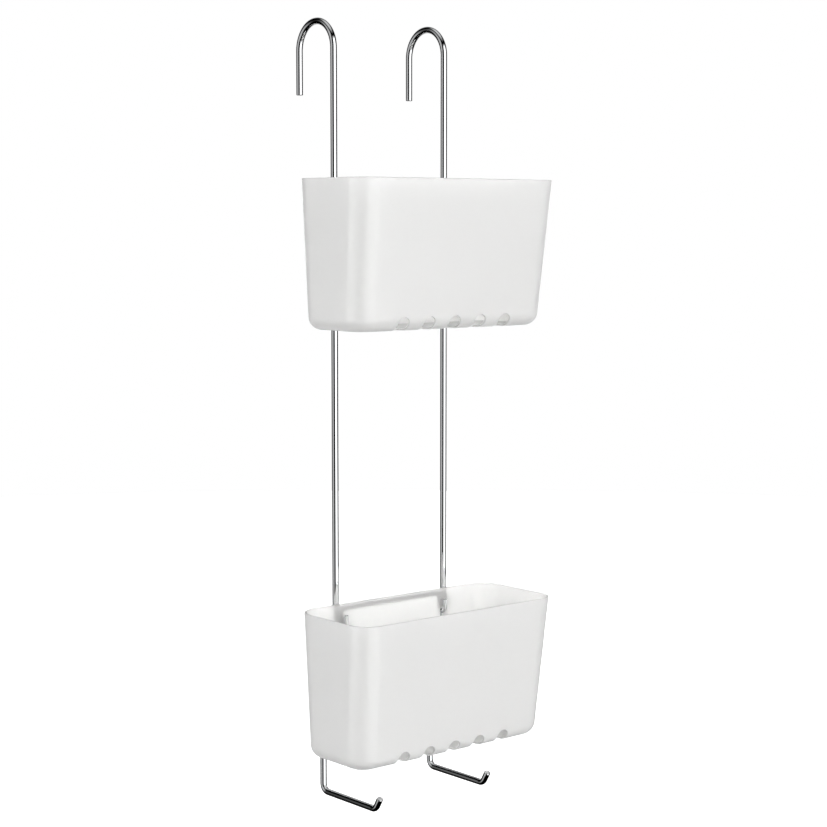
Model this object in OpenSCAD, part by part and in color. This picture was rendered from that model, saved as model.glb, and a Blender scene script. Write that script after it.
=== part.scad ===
// Over-the-screen shower caddy: a bent-wire frame with two lift-off baskets.
// X runs across the caddy, -Y is its front and Z is up. The origin is the point midway between the two
// top hooks where they sit on the edge of the shower screen.

/* [Rods] */
// Diameter of the rod wire
rod_d = 7; // [6:0.5:8]
// Distance between the axes of the two rods
rod_spacing = 149; // [140:1:170]
// Chamfer on every cut end of a wire
end_chamfer = 1; // [0.5:0.1:1.5]

/* [Top hooks] */
// Clear width inside a top hook, which takes the screen
hook_gap = 51; // [40:1:60]
// Straight length of a hook's free leg, below its arch
hook_leg = 45.5; // [30:0.5:60]

/* [Rod feet] */
// How far the rods step back below the lower basket, to touch the screen
step_back = 22.4; // [16:0.2:26]
// Slope of the stepped stretch, from vertical
step_angle = 35; // [25:1:45]
// Centre-line radius of the bends in the step
step_r = 12; // [10:1:16]
// Height from the lower rim down to the start of the step
step_drop = 50; // [45:1:60]
// Height from the lower rim down to the forward leg of a foot hook
foot_drop = 205.6; // [190:0.2:230]
// Length of a foot hook, from the axis of its rod to the start of its upturned tip
foot_reach = 83.2; // [60:0.2:90]
// Centre-line radius of the bend between the rod and its foot
foot_r = 8; // [7:0.5:12]
// Centre-line radius of the bend before the tip
tip_r = 9; // [7:0.5:12]
// Angle that the tip turns up from level
tip_angle = 60; // [45:1:80]
// Straight length of the upturned tip
tip_run = 9.8; // [6:0.2:16]

/* [Basket brackets] */
// Diameter of the bracket wire
bracket_d = 5; // [4:0.5:5.5]
// Height from a basket's rim down to its bracket's crossbar
bar_drop = 6; // [3:0.5:7]
// Centre-line radius of the bracket's upper corners
corner_r = 8; // [6:0.5:8]
// Height from a rim down to the centre of the crooks
crook_drop = 19.9; // [18:0.1:22]
// Centre-line radius of a crook
crook_r = 5; // [4.8:0.1:5.5]
// Height of a crook's tip above the centre of the crook
crook_tip = 8.4; // [6:0.2:9]
// Length of a weld bead
weld_len = 6; // [5:0.5:7]

/* [Baskets] */
// Width of a basket at its rim
basket_w = 265; // [240:1:300]
// Depth of a basket at its rim, front to back
basket_d = 116; // [100:1:140]
// Height of a basket
basket_h = 152; // [120:1:180]
// Wall thickness
wall = 2; // [1.6:0.1:2.2]
// Corner radius at the front of the rim
front_corner_r = 22.5; // [20:0.5:30]
// Corner radius at the back of the rim
back_corner_r = 27.5; // [24:0.5:34]
// Corner radius where the walls meet the rounding of the base
base_corner_r = 22.7; // [18:0.1:26]
// Radius of the rounding between the walls and the base
base_r = 12.8; // [10:0.2:16]
// How far each side wall leans in, from rim to base
side_lean = 6.5; // [3:0.5:12]
// How far the front wall leans in, from rim to base
front_lean = 15.4; // [10:0.2:24]
// How far the back wall leans in, from rim to base
back_lean = 5.2; // [3:0.2:8]
// Gap between the rods and the back of a rim
rod_gap = 0.5; // [0.4:0.1:1]

/* [Basket openings] */
// Width of a hanging slot in the back wall
slot_w = 7; // [6.2:0.1:9]
// Height of a hanging slot
slot_h = 18.3; // [16:0.1:20]
// Height from the rim down to the top of a slot
slot_drop = 21.2; // [20:0.1:23]
// Number of drain arches along the foot of the front wall
drain_count = 5; // [3:2:5]
// Distance from one drain arch to the next
drain_pitch = 34; // [28:1:36]
// Width of a drain arch
drain_w = 15; // [10:1:18]
// Height of a drain arch above the base
drain_h = 14; // [12:0.5:18]
// How far a drain arch runs back into the base
drain_run = 20; // [12:0.5:24]

/* [Places] */
// Height from the seat of the hooks down to the upper basket's rim
upper_drop = 159; // [140:1:200]
// Height from the upper rim down to the lower rim
basket_pitch = 442; // [350:1:600]

/* [Hidden] */
$fn = 64;

chrome = "silver";
frosted = [0.93, 0.94, 0.94, 0.8];

rod_x = rod_spacing / 2;
seam_swell = 0.04;
hook_r = (hook_gap + rod_d) / 2;
hook_z = -hook_gap / 2;                       // centre of a hook's arch
rod_y = -hook_r;
upper_rim = -upper_drop;
lower_rim = upper_rim - basket_pitch;

// The step takes up step_back with two bends and a sloping run between them.
step_run = (step_back - 2 * step_r * (1 - cos(step_angle))) / sin(step_angle);
step_height = 2 * step_r * sin(step_angle) + step_run * cos(step_angle);
shaft_run = hook_z - (lower_rim - step_drop);
shin_run = foot_drop - foot_r - step_drop - step_height;
toe_run = foot_reach - foot_r;

weld_gap = 0.05;                              // air between a rod and the bracket leg beside it
weld_d = 4.8;
leg_x = rod_x - rod_d / 2 - bracket_d / 2 - weld_gap;
leg_run = crook_drop - bar_drop - corner_r;

basket_y = rod_y - rod_d / 2 - rod_gap;       // outer face of the back wall, at the rim
corner_steps = 8;
round_steps = 6;
past = 1;                                     // how far a cutter runs past the face that it opens

// A round bar bent through angle degrees, from the origin up. A positive angle turns it towards -Y.
module bend(d, angle, r) {
    side = sign(angle);
    mirror([0, side < 0 ? 1 : 0, 0])
        translate([0, -r, 0])
            rotate([90, 0, 90])
                rotate_extrude(angle = abs(angle))
                    translate([r, 0]) circle(d = d);
}

// The chamfered end of a wire, on top of its last straight run.
module wire_end(d) {
    cylinder(d1 = d, d2 = d - 2 * end_chamfer, h = end_chamfer);
}

// The seam between a straight run and a bend, covered by a ball a hair wider than the wire, so that the
// two are one solid.
module seam(d) {
    sphere(d = d + seam_swell);
}

// A wire that starts at the origin heading up. Each step is [straight run, bend angle, bend radius].
module wire(d, steps, i = 0) {
    run = steps[i][0];
    angle = steps[i][1];
    r = steps[i][2];
    cylinder(d = d, h = run);
    translate([0, 0, run]) {
        if (i == len(steps) - 1) {
            wire_end(d);
        } else {
            seam(d);
            bend(d, angle, r);
            translate([0, sign(angle) * r * (cos(angle) - 1), r * sin(abs(angle))]) rotate([angle, 0, 0]) {
                seam(d);
                wire(d, steps, i + 1);
            }
        }
    }
}

// One rod: free leg, hook, long shaft, step back to the screen, foot hook and upturned tip.
module rod() {
    free_run = hook_leg - end_chamfer;
    color(chrome) translate([0, hook_r, hook_z - free_run]) {
        rotate([180, 0, 0]) wire_end(rod_d);
        wire(rod_d, [
            [free_run, 180, hook_r],
            [shaft_run, step_angle, step_r],
            [step_run, -step_angle, step_r],
            [shin_run, -90, foot_r],
            [toe_run, -tip_angle, tip_r],
            [tip_run - end_chamfer, 0, 0]
        ]);
    }
}

module left_rod() {
    translate([-rod_x, 0, 0]) rod();
}

module right_rod() {
    translate([rod_x, 0, 0]) rod();
}

// One half of a bracket, on the +X side: half the crossbar, a corner, a leg and its crook.
module half_bracket() {
    bar_run = leg_x - corner_r;
    translate([0, 0, -bar_drop]) rotate([0, 90, 0]) cylinder(d = bracket_d, h = bar_run);
    translate([bar_run, 0, -bar_drop - corner_r]) rotate([90, 0, 0])
        rotate_extrude(angle = 90)
            translate([corner_r, 0]) circle(d = bracket_d);
    translate([leg_x, 0, -bar_drop - corner_r]) rotate([180, 0, 0])
        wire(bracket_d, [
            [leg_run, -180, crook_r],
            [crook_tip - end_chamfer, 0, 0]
        ]);
}

module bracket(rim) {
    color(chrome) translate([0, rod_y, rim]) {
        half_bracket();
        mirror([1, 0, 0]) half_bracket();
    }
}

module upper_bracket() {
    bracket(upper_rim);
}

module lower_bracket() {
    bracket(lower_rim);
}

// A bead of weld in both grooves between a bracket leg and the rod beside it.
module weld() {
    straight = weld_len - weld_d;
    difference() {
        translate([leg_x + bracket_d / 2 + weld_gap / 2, 0, -(bar_drop + corner_r + crook_drop) / 2]) {
            translate([0, 0, -straight / 2]) cylinder(d = weld_d, h = straight);
            for (end = [-1, 1]) translate([0, 0, end * straight / 2]) sphere(d = weld_d);
        }
        translate([rod_x, 0, -step_drop]) cylinder(d = rod_d, h = step_drop);
        translate([leg_x, 0, -step_drop]) cylinder(d = bracket_d, h = step_drop);
    }
}

module welds(rim) {
    color(chrome) translate([0, rod_y, rim]) {
        weld();
        mirror([1, 0, 0]) weld();
    }
}

module upper_welds() {
    welds(upper_rim);
}

module lower_welds() {
    welds(lower_rim);
}

// One level outline of a basket, t of the way down from rim to base and set in by inset all round.
// Points run anticlockwise from the front right corner.
function corner(x, y, r, start) =
    [for (k = [0 : corner_steps]) let (a = start + 90 * k / corner_steps) [x + r * cos(a), y + r * sin(a)]];
function outline(t, inset) =
    let (
        x = basket_w / 2 - side_lean * t - inset,
        front = -basket_d + front_lean * t + inset,
        back = -back_lean * t - inset,
        rf = front_corner_r + (base_corner_r - front_corner_r) * t - inset,
        rb = back_corner_r + (base_corner_r - back_corner_r) * t - inset
    )
    concat(
        corner(x - rf, front + rf, rf, -90),
        corner(x - rb, back - rb, rb, 0),
        corner(-x + rb, back - rb, rb, 90),
        corner(-x + rf, front + rf, rf, 180)
    );
function ring(t, inset, z) = [for (p = outline(t, inset)) [p[0], p[1], z]];

// The rings of a skin that is set in by inset, from its flat base up to the rim.
function skin(inset) =
    let (r = base_r - inset, floor_z = inset - basket_h)
    concat(
        [for (k = [0 : round_steps])
            let (a = 90 * k / round_steps, z = floor_z + r * (1 - cos(a)))
            ring(-z / basket_h, inset + r * (1 - sin(a)), z)],
        [ring(0, inset, 0)]
    );

// The shell of a basket: the outer skin up to the rim, then the inner skin back down to its floor.
module shell() {
    outer = skin(0);
    inner = skin(wall);
    rows = concat(outer, [for (k = [len(inner) - 1 : -1 : 0]) inner[k]]);
    n = len(rows[0]);
    last = len(rows) - 1;
    points = [for (row = rows) each row];
    sides = [for (k = [0 : last - 1], i = [0 : n - 1])
        let (j = (i + 1) % n)
        [k * n + i, (k + 1) * n + i, (k + 1) * n + j, k * n + j]];
    base = [for (i = [0 : n - 1]) i];
    floor_face = [for (i = [n - 1 : -1 : 0]) last * n + i];
    polyhedron(points, concat([base], sides, [floor_face]));
}

// A cutter for one drain arch: a round-headed tunnel from in front of the front wall back into the base.
module drain_arch() {
    r = drain_w / 2;
    back = -basket_d + front_lean + drain_run;
    length = drain_run + front_lean + past;
    translate([0, back, -basket_h + drain_h - r]) {
        rotate([90, 0, 0]) cylinder(r = r, h = length);
        translate([-r, -length, -drain_h - past]) cube([drain_w, length, drain_h + past]);
    }
}

// A cutter for one hanging slot, through the back wall.
module hanging_slot() {
    depth = back_lean + wall + 2 * past;
    translate([-slot_w / 2, past - depth, -slot_drop - slot_h]) cube([slot_w, depth, slot_h]);
}

module basket(rim) {
    color(frosted) translate([0, basket_y, rim])
        difference() {
            shell();
            for (side = [-1, 1]) translate([side * leg_x, 0, 0]) hanging_slot();
            for (k = [0 : drain_count - 1])
                translate([(k - (drain_count - 1) / 2) * drain_pitch, 0, 0]) drain_arch();
        }
}

module upper_basket() {
    basket(upper_rim);
}

module lower_basket() {
    basket(lower_rim);
}

left_rod();
right_rod();
upper_bracket();
lower_bracket();
upper_welds();
lower_welds();
upper_basket();
lower_basket();
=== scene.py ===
"""Looks for the over-the-screen shower caddy: a chrome wire frame and two frosted plastic tubs."""

import math

import bmesh
import bpy
from mathutils import Matrix, Vector


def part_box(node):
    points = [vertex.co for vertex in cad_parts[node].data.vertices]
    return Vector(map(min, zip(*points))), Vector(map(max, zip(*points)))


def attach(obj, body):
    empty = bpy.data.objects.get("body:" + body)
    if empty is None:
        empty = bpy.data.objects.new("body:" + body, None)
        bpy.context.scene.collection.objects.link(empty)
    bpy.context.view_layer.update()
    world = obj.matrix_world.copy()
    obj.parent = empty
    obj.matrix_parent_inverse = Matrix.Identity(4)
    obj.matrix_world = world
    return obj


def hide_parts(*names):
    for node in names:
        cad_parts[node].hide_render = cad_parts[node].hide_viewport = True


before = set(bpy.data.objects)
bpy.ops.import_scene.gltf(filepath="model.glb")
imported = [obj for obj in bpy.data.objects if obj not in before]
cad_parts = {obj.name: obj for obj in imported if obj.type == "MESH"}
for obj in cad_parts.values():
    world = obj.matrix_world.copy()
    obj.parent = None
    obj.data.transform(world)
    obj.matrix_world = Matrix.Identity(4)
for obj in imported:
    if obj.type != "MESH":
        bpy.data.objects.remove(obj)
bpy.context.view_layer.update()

MM = 0.001

# ---------------------------------------------------------------- sizes that the frame can't give, in metres

ROD_R = 3.5 * MM
HOOK_LEG = 45.5 * MM                  # straight end of a hook, down from its arch
STEP_BACK = 22.4 * MM                 # how far the rods step back towards the screen
STEP_ANGLE = math.radians(35)
STEP_BEND_R = 12 * MM
STEP_DROP = 50 * MM                   # from the lower rim to the start of the step
FOOT_BEND_R = 8 * MM
FOOT_REACH = 83.2 * MM                # from the rod's axis to the start of the tip's bend
TIP_BEND_R = 9 * MM
TIP_ANGLE = math.radians(60)
TIP_RUN = 9.8 * MM

BRACKET_R = 2.5 * MM
BRACKET_CORNER_R = 8 * MM
CROOK_R = 5 * MM
CROOK_TIP = 8.4 * MM                  # height of a crook's tip above the centre of the crook
END_ROUND = 0.9 * MM                  # rounding on the cut end of a wire
WELD_RIPPLE = 0.07                    # depth of a bead's ripples, as a share of its radius
WELD_RIPPLES = 3.5                    # number of ripples in half a bead
WELD_SAG = 0.15 * MM                  # how far the ripples bow

WALL = 2 * MM
SIDE_LEAN = 6.5 * MM
FRONT_LEAN = 15.4 * MM
BACK_LEAN = 5.2 * MM
FRONT_CORNER_R = 22.5 * MM
BACK_CORNER_R = 27.5 * MM
BASE_CORNER_R = 22.7 * MM
BASE_R = 12.8 * MM
RIM_ROUND = 0.7 * MM
HOLE_ROUND = 0.35 * MM

SLOT_W = 7 * MM
SLOT_H = 18.3 * MM
SLOT_DROP = 21.2 * MM
SLOT_CORNER_R = 1.2 * MM
DRAIN_COUNT = 5
DRAIN_PITCH = 34 * MM
DRAIN_W = 15 * MM
DRAIN_H = 14 * MM
DRAIN_RUN = 20 * MM
DRAIN_CORNER_R = 2 * MM

FLOOR_Z = -1.6
FLOOR_RADIUS = 8.0

# How finely the meshes are drawn.
RUN_STEP = 6 * MM                     # along a straight wire
SHORT_STEP = 3 * MM                   # along a short straight
BEND_STEP = math.radians(4)
ARCH_STEP = math.radians(3)
CROOK_STEP = math.radians(6)
ROD_SIDES = 32
BRACKET_SIDES = 28
END_STEPS = 5                         # rings in a rounded wire end
BEAD_SIDES = 32
BEAD_STEPS = 56                       # along a bead
CORNER_COLUMNS = 16
SIDE_COLUMNS = 10
RIM_STEPS = 6
HOLE_STEPS = 3                        # rings in half the rounded edge of a hole
SLOT_PATCH = 9 * MM                   # half the width of the mesh patch that holds a slot
SLOT_CELLS = (8, 12)                  # how many cells that patch takes out of the wall, across and down
SLOT_GAPS = (5, 14)                   # cells from a corner to a patch, and from patch to patch
SLOT_MARGIN = 5 * MM                  # from the slot's ends to the patch's
DRAIN_PATCH = 11 * MM                 # the same for a drain arch
DRAIN_CELLS = (10, 18)
DRAIN_GAPS = (6, 3)
DRAIN_TOP_MARGIN = 4 * MM
DRAIN_FOOT_MARGIN = 2.5 * MM
RIM_ROWS = (RIM_ROUND, 2.5 * MM, 6 * MM, 11 * MM)     # the rows under the rim
MIDDLE_ROWS = 9                       # cells from the slots' patches down to the drains'
PATCH_SHARES = (0.3, 0.55, 0.75, 0.9)     # rings of a patch, on the way from its edge to its hole
TINY = 1e-15                          # what counts as parallel where a ray meets an outline
SLACK = 1e-9                          # how far past the end of a line, as a share of it, still counts

CAMERA_AT = Vector((-1.3053, -1.6206, -0.2028))
CAMERA_TURN = math.radians(40.04)     # right of straight ahead, +Y
CAMERA_TILT = math.radians(5.62)      # down from level
LENS_MM = 84.63


# ---------------------------------------------------------------- small tools

def new_object(name, bm):
    """A smooth-shaded mesh object made from bm, which is freed."""
    mesh = bpy.data.meshes.new(name)
    bm.normal_update()
    bm.to_mesh(mesh)
    bm.free()
    for face in mesh.polygons:
        face.use_smooth = True
    piece = bpy.data.objects.new(name, mesh)
    bpy.context.collection.objects.link(piece)
    return piece


def node_box(name):
    lo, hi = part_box(name)
    return Vector(lo), Vector(hi)


def spread(low, high, parts):
    return [low + (high - low) * k / parts for k in range(parts + 1)]


def bridge(bm, loops):
    """Quads between closed loops of equal length, each joined to the next."""
    for one, two in zip(loops, loops[1:]):
        for i in range(len(one)):
            k = (i + 1) % len(one)
            bm.faces.new((one[i], one[k], two[k], two[i]))


def add_node(tree, kind, **sockets):
    """A shader node of that kind with its input sockets set by name."""
    node = tree.nodes.new(kind)
    for key, value in sockets.items():
        node.inputs[key.replace("_", " ")].default_value = value
    return node


# ---------------------------------------------------------------- wires

class Pen:
    """Draws a wire's centre line: straight runs and round bends from a start point and heading."""

    def __init__(self, at, heading):
        self.at = Vector(at)
        self.heading = Vector(heading).normalized()
        self.points = [self.at.copy()]

    def run(self, length, step=RUN_STEP):
        parts = max(1, round(length / step))
        for _ in range(parts):
            self.at = self.at + self.heading * (length / parts)
            self.points.append(self.at.copy())
        return self

    def bend(self, angle, radius, towards, step=BEND_STEP):
        """Turns through angle, towards that direction."""
        side = Vector(towards)
        side = (side - self.heading * side.dot(self.heading)).normalized()
        centre = self.at + side * radius
        axis = self.heading.cross(side)
        parts = max(2, math.ceil(angle / step))
        arm, heading = self.at - centre, self.heading.copy()
        for k in range(1, parts + 1):
            turn = Matrix.Rotation(angle * k / parts, 3, axis)
            self.points.append(centre + turn @ arm)
        turn = Matrix.Rotation(angle, 3, axis)
        self.at = self.points[-1].copy()
        self.heading = (turn @ heading).normalized()
        return self


def wire_piece(name, points, radius, sides):
    """A round wire along points, with rounded ends."""
    last = len(points) - 1
    tangents = [(points[min(k + 1, last)] - points[max(k - 1, 0)]).normalized() for k in range(last + 1)]
    # The end rings sit back from the cut face by what the rounding takes, so the wire keeps its full length.
    rings = []                                    # (point, shift along the wire, radius)
    for k in range(END_STEPS + 1):
        a = math.pi / 2 * k / END_STEPS
        rings.append((0, END_ROUND * (1 - math.cos(a)), radius - END_ROUND * (1 - math.sin(a))))
    rings += [(k, 0.0, radius) for k in range(1, last)]
    rings += [(last, -shift, r) for _, shift, r in reversed(rings[:END_STEPS + 1])]

    bm = bmesh.new()
    normal = tangents[0].orthogonal().normalized()
    last_tangent = tangents[0]
    loops = []
    for k, shift, r in rings:
        tangent = tangents[k]
        turn = last_tangent.rotation_difference(tangent)
        normal = (turn @ normal).normalized()
        last_tangent = tangent
        across = tangent.cross(normal)
        centre = points[k] + tangent * shift
        loops.append([
            bm.verts.new(centre + (normal * math.cos(a) + across * math.sin(a)) * r)
            for a in (2 * math.pi * i / sides for i in range(sides))
        ])
    bridge(bm, loops)
    bm.faces.new(list(reversed(loops[0])))
    bm.faces.new(loops[-1])
    bmesh.ops.recalc_face_normals(bm, faces=bm.faces)
    return new_object(name, bm)


def rod_piece(node):
    lo, hi = node_box(node)
    x = (lo.x + hi.x) / 2
    hook_r = hi.y - ROD_R
    arch_z = hi.z - ROD_R - hook_r
    free_z = arch_z - HOOK_LEG
    step_z = node_box("lower_basket")[1].z - STEP_DROP
    foot_z = lo.z + ROD_R
    slope = (STEP_BACK - 2 * STEP_BEND_R * (1 - math.cos(STEP_ANGLE))) / math.sin(STEP_ANGLE)
    forward, back = Vector((0, -1, 0)), Vector((0, 1, 0))
    pen = Pen((x, hook_r, free_z), (0, 0, 1))
    pen.run(arch_z - free_z).bend(math.pi, hook_r, forward, ARCH_STEP)
    pen.run(arch_z - step_z)
    pen.bend(STEP_ANGLE, STEP_BEND_R, back).run(slope).bend(STEP_ANGLE, STEP_BEND_R, (0, 0, -1))
    pen.run(pen.at.z - foot_z - FOOT_BEND_R).bend(math.pi / 2, FOOT_BEND_R, forward)
    pen.run(FOOT_REACH - FOOT_BEND_R).bend(TIP_ANGLE, TIP_BEND_R, (0, 0, 1)).run(TIP_RUN)
    return wire_piece(node + "_wire", pen.points, ROD_R, ROD_SIDES)


def bracket_piece(node):
    lo, hi = node_box(node)
    leg_x = hi.x - BRACKET_R
    crook_z = lo.z + BRACKET_R + CROOK_R
    leg = hi.z - BRACKET_R - BRACKET_CORNER_R - crook_z
    back_y = hi.y - BRACKET_R
    up, forward = Vector((0, 0, 1)), Vector((0, -1, 0))
    pen = Pen((-leg_x, back_y - 2 * CROOK_R, crook_z + CROOK_TIP), -up)
    pen.run(CROOK_TIP, SHORT_STEP).bend(math.pi, CROOK_R, -forward, CROOK_STEP)
    pen.run(leg, SHORT_STEP).bend(math.pi / 2, BRACKET_CORNER_R, (1, 0, 0))
    pen.run(2 * (leg_x - BRACKET_CORNER_R)).bend(math.pi / 2, BRACKET_CORNER_R, -up)
    pen.run(leg, SHORT_STEP).bend(math.pi, CROOK_R, forward, CROOK_STEP)
    pen.run(CROOK_TIP, SHORT_STEP)
    return wire_piece(node + "_wire", pen.points, BRACKET_R, BRACKET_SIDES)


# ---------------------------------------------------------------- tubs

class Tub:
    """A tub's wall: where a point lies, from its place round, down the profile and into the wall."""

    def __init__(self, node):
        lo, hi = node_box(node)
        self.half_w = (hi.x - lo.x) / 2
        self.depth = hi.y - lo.y
        self.height = hi.z - lo.z
        self.back_y = hi.y
        self.rim_z = hi.z
        self.wall_run = self.height - BASE_R
        self.round_run = BASE_R * math.pi / 2

    def profile(self, s, into):
        """(inset, z below the rim) at s down the profile from the rim and into the wall from outside."""
        if s <= self.wall_run:
            return into, -s
        r = BASE_R - into
        if s <= self.wall_run + self.round_run:
            a = (s - self.wall_run) / BASE_R
            return BASE_R - r * math.cos(a), -self.wall_run - r * math.sin(a)
        return BASE_R + s - self.wall_run - self.round_run, into - self.height

    def at_height(self, above_base):
        """How far down the profile the outer skin is at that height above the base."""
        if above_base >= BASE_R:
            return self.height - above_base
        return self.wall_run + BASE_R * math.asin((BASE_R - above_base) / BASE_R)

    def drain_end(self):
        """How far down the profile the drains end, where they run back under the base."""
        return self.wall_run + self.round_run + DRAIN_RUN - BASE_R

    def straight(self, part, f, inset, z):
        """A point of the outline: part 0 is the front, then the parts run anticlockwise seen from above."""
        t = -z / self.height
        x = self.half_w - SIDE_LEAN * t - inset
        front = -self.depth + FRONT_LEAN * t + inset
        back = -BACK_LEAN * t - inset
        rf = FRONT_CORNER_R + (BASE_CORNER_R - FRONT_CORNER_R) * t - inset
        rb = BACK_CORNER_R + (BASE_CORNER_R - BACK_CORNER_R) * t - inset
        corners = {
            1: (x - rf, front + rf, rf, -90), 3: (x - rb, back - rb, rb, 0),
            5: (rb - x, back - rb, rb, 90), 7: (rf - x, front + rf, rf, 180),
        }
        if part in corners:
            cx, cy, r, start = corners[part]
            a = math.radians(start + 90 * f)
            px, py = cx + r * math.cos(a), cy + r * math.sin(a)
        else:
            ends = {
                0: ((rf - x, front), (x - rf, front)), 2: ((x, front + rf), (x, back - rb)),
                4: ((x - rb, back), (rb - x, back)), 6: ((-x, back - rb), (-x, front + rf)),
            }
            (ax, ay), (bx, by) = ends[part]
            px, py = ax + (bx - ax) * f, ay + (by - ay) * f
        return Vector((px, self.back_y + py, self.rim_z + z))

    def point(self, part, f, s, into):
        inset, z = self.profile(s, into)
        return self.straight(part, f, inset, z)

    def on_wall(self, face, x, s, into):
        """A point of the front (-1) or back (1) wall at that x."""
        inset, z = self.profile(s, into)
        part = 0 if face < 0 else 4
        y = self.straight(part, 0.5, inset, z).y
        return Vector((x, y, self.rim_z + z))


def arc(cx, cy, r, start, steps=6):
    """Points on a quarter circle from start, in degrees."""
    angles = [math.radians(start + 90 * k / steps) for k in range(steps + 1)]
    return [(cx + r * math.cos(a), cy + r * math.sin(a)) for a in angles]


def slot_outline(grow):
    """The outline of a hanging slot, grown by that much, about x = 0: (x, s) points."""
    half, r = SLOT_W / 2 + grow, SLOT_CORNER_R + grow
    top, bottom = SLOT_DROP - grow, SLOT_DROP + SLOT_H + grow
    points = []
    for cx, cy, start in (
        (half - r, bottom - r, 0), (r - half, bottom - r, 90),
        (r - half, top + r, 180), (half - r, top + r, 270),
    ):
        points += arc(cx, cy, r, start)
    return points


def drain_outline(tub, grow):
    """The outline of a drain arch, grown by that much, about x = 0: (x, s) points."""
    half, r = DRAIN_W / 2 + grow, DRAIN_CORNER_R + grow
    spring = DRAIN_H - DRAIN_W / 2
    end = tub.drain_end() + grow
    points = arc(half - r, end - r, r, 0) + arc(r - half, end - r, r, 90)
    for a in spread(math.pi, 0.0, 48):
        points.append((half * math.cos(a), tub.at_height(spring + half * math.sin(a))))
    return points


def ray_hit(outline, centre, toward):
    """Where the ray from centre through toward leaves a closed outline."""
    dx, dy = toward[0] - centre[0], toward[1] - centre[1]
    best = None
    for (ax, ay), (bx, by) in zip(outline, outline[1:] + outline[:1]):
        ex, ey = bx - ax, by - ay
        cross = dx * ey - dy * ex
        if abs(cross) < TINY:
            continue
        qx, qy = ax - centre[0], ay - centre[1]
        along = (qx * ey - qy * ex) / cross
        share = (qx * dy - qy * dx) / cross
        if along > 0 and -SLACK <= share <= 1 + SLACK and (best is None or along > best):
            best = along
    return centre[0] + dx * best, centre[1] + dy * best


def wall_columns(start, centres, half, cells, gaps):
    """X of each column of a wall, from start across to its mirror image, with a patch about each centre.

    Half a patch is negative on the back wall, where the outline runs towards -X.
    """
    xs = [start]
    for x in centres:
        xs += spread(xs[-1], x - half, gaps[0] if len(xs) == 1 else gaps[1])[1:]
        xs += spread(x - half, x + half, cells)[1:]
    return xs + spread(xs[-1], -start, gaps[0])[1:]


def outline_columns(front_x, back_x):
    """Every column round the outline, as (part, fraction)."""
    columns = []
    for xs, first in ((front_x, 0), (back_x, 4)):
        columns += [(first, (x - xs[0]) / (xs[-1] - xs[0])) for x in xs[:-1]]
        for part in (first + 1, first + 2, first + 3):
            n = SIDE_COLUMNS if part == first + 2 else CORNER_COLUMNS
            columns += [(part, k / n) for k in range(n)]
    return columns


def tub_rows(tub):
    """The rows down the profile, and the top and foot of the slots' patches and of the drains'."""
    slots = (SLOT_DROP - SLOT_MARGIN, SLOT_DROP + SLOT_H + SLOT_MARGIN)
    drains = (tub.height - DRAIN_H - DRAIN_TOP_MARGIN, tub.drain_end() + DRAIN_FOOT_MARGIN)
    rows = list(RIM_ROWS) + spread(*slots, SLOT_CELLS[1])
    rows += spread(slots[1], drains[0], MIDDLE_ROWS)[1:]
    rows += spread(*drains, DRAIN_CELLS[1])[1:]
    return rows, slots, drains


def nearest(values, target):
    return min(range(len(values)), key=lambda k: abs(values[k] - target))


def wall_holes(face, xs, centres, half, wall_start, rows, ends):
    """Each hole of a wall as (face, x, column, cells across, row, cells down) of the patch that holds it."""
    row, last_row = (nearest(rows, end) for end in ends)
    holes = []
    for x in centres:
        first, last = nearest(xs, x - half), nearest(xs, x + half)
        holes.append((face, x, wall_start + first, last - first, row, last_row - row))
    return holes


def add_skin(bm, tub, columns, rows, holes, into):
    """One skin of a tub, that far into the wall, open at the rim and where the holes' patches are."""
    skipped = set()
    for _, _, column, across, row, down in holes:
        skipped.update((column + i, row + j) for i in range(across) for j in range(down))
    skin = [[bm.verts.new(tub.point(part, f, s, into)) for part, f in columns] for s in rows]
    for j in range(len(rows) - 1):
        for i in range(len(columns)):
            if (i, j) in skipped:
                continue
            k = (i + 1) % len(columns)
            bm.faces.new((skin[j][i], skin[j][k], skin[j + 1][k], skin[j + 1][i]))
    bm.faces.new(skin[-1])
    return skin


def add_rim(bm, tub, columns, skins):
    """The rounded rim between the two skins."""
    rim = []
    for k in range(1, RIM_STEPS + 1):
        a = math.pi / 2 * k / RIM_STEPS
        rim.append((RIM_ROUND * (1 - math.cos(a)), -RIM_ROUND * (1 - math.sin(a))))
    rim += [(WALL - into, z) for into, z in reversed(rim)]
    loops = [skins[0][0]]
    for into, z in rim:
        loops.append([bm.verts.new(tub.straight(part, f, into, z)) for part, f in columns])
    loops.append(skins[1][0])
    bridge(bm, loops)


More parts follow.
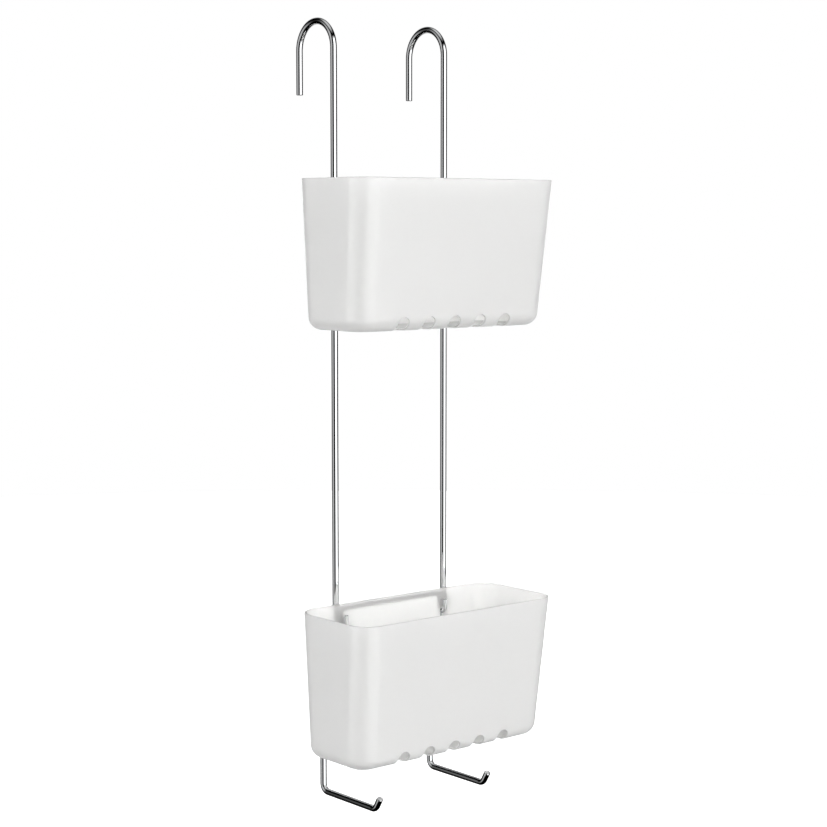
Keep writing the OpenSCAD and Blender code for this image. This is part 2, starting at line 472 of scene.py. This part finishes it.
def add_hole(bm, tub, columns, rows, skins, hole):
    """A patch of both skins round a hole, and the hole's rounded edge through the wall."""
    face, x, column, across, row, down = hole
    centre = (0.0, tub.at_height(DRAIN_H / 2) if face < 0 else SLOT_DROP + SLOT_H / 2)
    ring = [(column + i, row) for i in range(across)]
    ring += [(column + across, row + j) for j in range(down)]
    ring += [(column + across - i, row + down) for i in range(across)]
    ring += [(column, row + down - j) for j in range(down)]
    ring = [(i % len(columns), j) for i, j in ring]
    aims = [(skins[0][j][i].co.x - x, rows[j]) for i, j in ring]

    edge = []                                     # (grow, into) through the wall, from outside to inside
    for k in range(HOLE_STEPS + 1):
        a = math.pi / 2 * k / HOLE_STEPS
        edge.append((HOLE_ROUND * (1 - math.sin(a)), HOLE_ROUND * (1 - math.cos(a))))
    edge += [(grow, WALL - into) for grow, into in reversed(edge)]
    hits = {}
    for grow, _ in edge:
        outline = drain_outline(tub, grow) if face < 0 else slot_outline(grow)
        hits[grow] = [ray_hit(outline, centre, aim) for aim in aims]
    mouth = hits[HOLE_ROUND]

    def patch(skin, into):
        """The skin's own loop round the patch, and loops from there towards the hole."""
        loops = [[skin[j][i] for i, j in ring]]
        for share in PATCH_SHARES:
            loop = []
            for aim, hit in zip(aims, mouth):
                px, ps = (aim[k] + (hit[k] - aim[k]) * share for k in (0, 1))
                loop.append(bm.verts.new(tub.on_wall(face, x + px, ps, into)))
            loops.append(loop)
        return loops

    loops = patch(skins[0], 0.0)
    for grow, into in edge:
        loops.append([bm.verts.new(tub.on_wall(face, x + hx, hs, into)) for hx, hs in hits[grow]])
    loops += reversed(patch(skins[1], WALL))
    bridge(bm, loops)


def tub_piece(node, slot_x):
    tub = Tub(node)
    drains = [(k - (DRAIN_COUNT - 1) / 2) * DRAIN_PITCH for k in range(DRAIN_COUNT)]
    slots = (slot_x, -slot_x)
    front, back = tub.half_w - SIDE_LEAN - BASE_CORNER_R, tub.half_w - BACK_CORNER_R
    front_x = wall_columns(-front, drains, DRAIN_PATCH, DRAIN_CELLS[0], DRAIN_GAPS)
    back_x = wall_columns(back, slots, -SLOT_PATCH, SLOT_CELLS[0], SLOT_GAPS)
    columns = outline_columns(front_x, back_x)
    rows, slot_ends, drain_ends = tub_rows(tub)
    back_wall = columns.index((4, 0.0))
    holes = wall_holes(-1, front_x, drains, DRAIN_PATCH, 0, rows, drain_ends)
    holes += wall_holes(1, back_x, slots, -SLOT_PATCH, back_wall, rows, slot_ends)
    bm = bmesh.new()
    skins = [add_skin(bm, tub, columns, rows, holes, into) for into in (0.0, WALL)]
    add_rim(bm, tub, columns, skins)
    for hole in holes:
        add_hole(bm, tub, columns, rows, skins, hole)
    bmesh.ops.recalc_face_normals(bm, faces=bm.faces)
    piece = new_object(node + "_tub", bm)
    even = piece.modifiers.new("even_normals", "WEIGHTED_NORMAL")
    even.keep_sharp = True
    return piece


# ---------------------------------------------------------------- welds

def weld_piece(node):
    """Two beads, each lying in the grooves between a bracket leg and the rod beside it."""
    lo, hi = node_box(node)
    rod_lo, rod_hi = node_box("right_rod")
    leg_face = node_box("upper_bracket")[1].x
    rod_face = (rod_lo.x + rod_hi.x) / 2 - ROD_R
    x = (leg_face + rod_face) / 2
    y = (lo.y + hi.y) / 2
    z = (lo.z + hi.z) / 2
    bead_r = (hi.y - lo.y) / 2
    half = (hi.z - lo.z) / 2
    bm = bmesh.new()
    for side in (-1, 1):
        loops = []
        for k in range(1, BEAD_STEPS):
            share = 2 * k / BEAD_STEPS - 1
            round_off = max(0.0, abs(share) * half - (half - bead_r)) / bead_r
            r = bead_r * math.sqrt(max(0.0, 1 - round_off ** 2))
            r *= 1 - WELD_RIPPLE * (0.5 + 0.5 * math.cos(2 * math.pi * WELD_RIPPLES * share))
            ring = []
            for i in range(BEAD_SIDES):
                a = 2 * math.pi * i / BEAD_SIDES
                height = z + share * half - WELD_SAG * math.cos(2 * a)
                ring.append(bm.verts.new((side * x + r * math.cos(a), y + r * math.sin(a), height)))
            loops.append(ring)
        bridge(bm, loops)
        bm.faces.new(list(reversed(loops[0])))
        bm.faces.new(loops[-1])
    bmesh.ops.recalc_face_normals(bm, faces=bm.faces)
    return new_object(node + "_beads", bm)


# ---------------------------------------------------------------- materials

def noise_range(tree, place, scale, low, high):
    """A number that wanders between low and high over the surface, about scale times in a metre."""
    noise = add_node(tree, "ShaderNodeTexNoise", Scale=scale, Detail=3.0)
    tree.links.new(place.outputs["Object"], noise.inputs["Vector"])
    span = add_node(tree, "ShaderNodeMapRange", From_Min=0.3, From_Max=0.7, To_Min=low, To_Max=high)
    tree.links.new(noise.outputs["Fac"], span.inputs["Value"])
    return span.outputs["Result"]


def bump(tree, place, shader, scale, strength, distance):
    """Fine relief on the shader's surface, about scale bumps to the metre."""
    noise = add_node(tree, "ShaderNodeTexNoise", Scale=scale, Detail=2.0)
    tree.links.new(place.outputs["Object"], noise.inputs["Vector"])
    relief = add_node(tree, "ShaderNodeBump", Strength=strength, Distance=distance)
    tree.links.new(noise.outputs["Fac"], relief.inputs["Height"])
    tree.links.new(relief.outputs["Normal"], shader.inputs["Normal"])


def tinted(tree, place, shader, scale, one, two):
    """The shader's base colour drifts between two close colours."""
    mix = tree.nodes.new("ShaderNodeMix")
    mix.data_type = "RGBA"
    tree.links.new(noise_range(tree, place, scale, 0.0, 1.0), mix.inputs[0])
    mix.inputs[6].default_value = one
    mix.inputs[7].default_value = two
    tree.links.new(mix.outputs[2], shader.inputs["Base Color"])


def chrome_material(name, dull, bright, low, high, relief):
    """Plated steel, from a mirror on the wire to a duller plate on a weld."""
    material = bpy.data.materials.new(name)
    material.use_nodes = True
    tree = material.node_tree
    shader = tree.nodes["Principled BSDF"]
    shader.inputs["Metallic"].default_value = 1.0
    place = add_node(tree, "ShaderNodeTexCoord")
    tinted(tree, place, shader, 45.0, dull, bright)
    tree.links.new(noise_range(tree, place, 120.0, low, high), shader.inputs["Roughness"])
    bump(tree, place, shader, 900.0, relief, 0.05 * MM)
    return material


def frosted_material():
    """Milky polypropylene: light spreads inside the wall, some goes through it, and the skin is satin."""
    material = bpy.data.materials.new("frosted_plastic")
    material.use_nodes = True
    tree = material.node_tree
    shader = tree.nodes["Principled BSDF"]
    place = add_node(tree, "ShaderNodeTexCoord")
    tinted(tree, place, shader, 14.0, (0.976, 0.97, 0.95, 1), (0.986, 0.981, 0.964, 1))
    tree.links.new(noise_range(tree, place, 350.0, 0.34, 0.42), shader.inputs["Roughness"])
    bump(tree, place, shader, 1300.0, 0.05, 0.05 * MM)
    shader.inputs["IOR"].default_value = 1.49
    shader.inputs["Specular IOR Level"].default_value = 0.25
    shader.inputs["Transmission Weight"].default_value = 0.42
    shader.inputs["Subsurface Weight"].default_value = 1.0
    shader.inputs["Subsurface Radius"].default_value = (1, 1, 1)
    shader.inputs["Subsurface Scale"].default_value = 4 * MM
    shader.inputs["Coat Weight"].default_value = 0.45
    shader.inputs["Coat Roughness"].default_value = 0.07
    shader.inputs["Coat IOR"].default_value = 1.49
    return material


# ---------------------------------------------------------------- pieces

chrome = chrome_material("chrome_wire", (0.83, 0.84, 0.85, 1), (0.88, 0.89, 0.9, 1), 0.008, 0.025, 0.004)
weld_chrome = chrome_material("chrome_weld", (0.7, 0.71, 0.72, 1), (0.8, 0.81, 0.82, 1), 0.1, 0.24, 0.3)
frosted = frosted_material()

for node in ("left_rod", "right_rod"):
    rod = rod_piece(node)
    rod.data.materials.append(chrome)
    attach(rod, "frame")
    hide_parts(node)

for node in ("upper_bracket", "lower_bracket"):
    bracket = bracket_piece(node)
    bracket.data.materials.append(chrome)
    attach(bracket, "frame")
    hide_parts(node)

leg_x = node_box("upper_bracket")[1].x - BRACKET_R
for node in ("upper_basket", "lower_basket"):
    tub = tub_piece(node, leg_x)
    tub.data.materials.append(frosted)
    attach(tub, node)
    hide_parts(node)

for node in ("upper_welds", "lower_welds"):
    beads = weld_piece(node)
    beads.data.materials.append(weld_chrome)
    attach(beads, "frame")
    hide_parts(node)


# ---------------------------------------------------------------- stage, light and camera

def floor_piece():
    """A pale floor well below the hanging caddy, bright enough to run into the backdrop."""
    bm = bmesh.new()
    bmesh.ops.create_circle(
        bm, cap_ends=True, segments=96, radius=FLOOR_RADIUS, matrix=Matrix.Translation((0, 0, FLOOR_Z)))
    floor = new_object("floor", bm)
    material = bpy.data.materials.new("floor")
    material.use_nodes = True
    shader = material.node_tree.nodes["Principled BSDF"]
    shader.inputs["Base Color"].default_value = (0.9, 0.9, 0.9, 1)
    shader.inputs["Emission Color"].default_value = (1, 1, 1, 1)
    shader.inputs["Emission Strength"].default_value = 1.0
    floor.data.materials.append(material)
    floor.visible_diffuse = False
    floor.visible_glossy = False
    floor.visible_transmission = False
    floor.visible_shadow = False


# The studio as the object sees it, in degrees. Each panel of light is (left edge, its softness, right edge,
# its softness, foot, top, their softness, strength, seen in reflections). Left and right count from the
# camera's direction, positive to its right, and heights from level. A panel that isn't seen in reflections
# lights the plastic but adds nothing to the chrome.
PANELS = (
    (11, 1, 79.9, 0.4, -35, 37, 8, 1.6, True),            # the big softbox to the right of the camera
    (0, 5, 95, 5, -20, 9, 12, 2.5, False),
    (-92, 14, -40, 3, -35, 37, 8, 0.5, True),             # the smaller one to its left
    (-105, 14, -40, 3, -20, 12, 12, 4.2, False),
    (150, 10, 210, 10, -40, 40, 10, 0.5, True),           # the bright paper behind
    (138, 10, 222, 10, -40, 4, 8, 4.4, False),
    (-180, 0, 180, 0, 62, 120, 14, 0.6, True),            # the light straight overhead
    (-180, 0, 180, 0, 65, 120, 8, 0.8, False),
    (-180, 0, 180, 0, -120, -50, 10, 0.1, False),         # and a little back up from the floor
)
TOWARDS_CAMERA = -math.pi / 2 - CAMERA_TURN


def world_light():
    world = bpy.data.worlds.new("studio")
    bpy.context.scene.world = world
    world.use_nodes = True
    tree = world.node_tree
    place = add_node(tree, "ShaderNodeTexCoord")
    axes = add_node(tree, "ShaderNodeSeparateXYZ")
    tree.links.new(place.outputs["Generated"], axes.inputs[0])
    seen = add_node(tree, "ShaderNodeLightPath")

    def math_node(kind, *values):
        node = tree.nodes.new("ShaderNodeMath")
        node.operation = kind
        for socket, value in zip(node.inputs, values):
            if isinstance(value, (int, float)):
                socket.default_value = value
            else:
                tree.links.new(value, socket)
        return node.outputs[0]

    def edge(value, at, softness):
        """0 below that value and 1 above it, or the other way round where the softness is negative."""
        node = tree.nodes.new("ShaderNodeMapRange")
        node.interpolation_type = "SMOOTHSTEP"
        tree.links.new(value, node.inputs["Value"])
        node.inputs["From Min"].default_value = at - softness
        node.inputs["From Max"].default_value = at + softness
        return node.outputs["Result"]

    turn = math_node("ARCTAN2", axes.outputs["Y"], axes.outputs["X"])
    level = math_node("DEGREES", math_node("ARCSINE", axes.outputs["Z"]))
    bounced = math_node("SUBTRACT", 1.0, seen.outputs["Is Transmission Ray"])
    unmirrored = math_node("SUBTRACT", 1.0, math_node("MULTIPLY", seen.outputs["Is Glossy Ray"], bounced))
    light = None
    for left, left_soft, right, right_soft, foot, top, end_soft, strength, mirrored in PANELS:
        value = math_node("MULTIPLY", edge(level, foot, end_soft), edge(level, top, -end_soft))
        if right - left < 360:
            half = (right - left) / 2
            away = math_node("SUBTRACT", turn, math.radians((left + right) / 2) + TOWARDS_CAMERA)
            away = math_node("DEGREES", math_node("WRAP", away, math.pi, -math.pi))
            value = math_node("MULTIPLY", value, edge(away, -half, left_soft))
            value = math_node("MULTIPLY", value, edge(away, half, -right_soft))
        value = math_node("MULTIPLY", value, strength)
        if not mirrored:
            value = math_node("MULTIPLY", value, unmirrored)
        light = value if light is None else math_node("ADD", light, value)
    mix = tree.nodes.new("ShaderNodeMix")
    mix.data_type = "FLOAT"
    tree.links.new(seen.outputs["Is Camera Ray"], mix.inputs[0])
    tree.links.new(light, mix.inputs[2])
    mix.inputs[3].default_value = 1.0
    tree.links.new(mix.outputs[0], tree.nodes["Background"].inputs["Strength"])
    tree.nodes["Background"].inputs["Color"].default_value = (1, 1, 1, 1)


def make_camera():
    data = bpy.data.cameras.new("camera")
    data.lens = LENS_MM
    data.sensor_width = 36
    camera = bpy.data.objects.new("camera", data)
    bpy.context.collection.objects.link(camera)
    camera.location = CAMERA_AT
    camera.rotation_euler = (math.pi / 2 - CAMERA_TILT, 0, -CAMERA_TURN)
    bpy.context.scene.camera = camera


floor_piece()
world_light()
make_camera()
bpy.context.scene.view_settings.view_transform = "Standard"
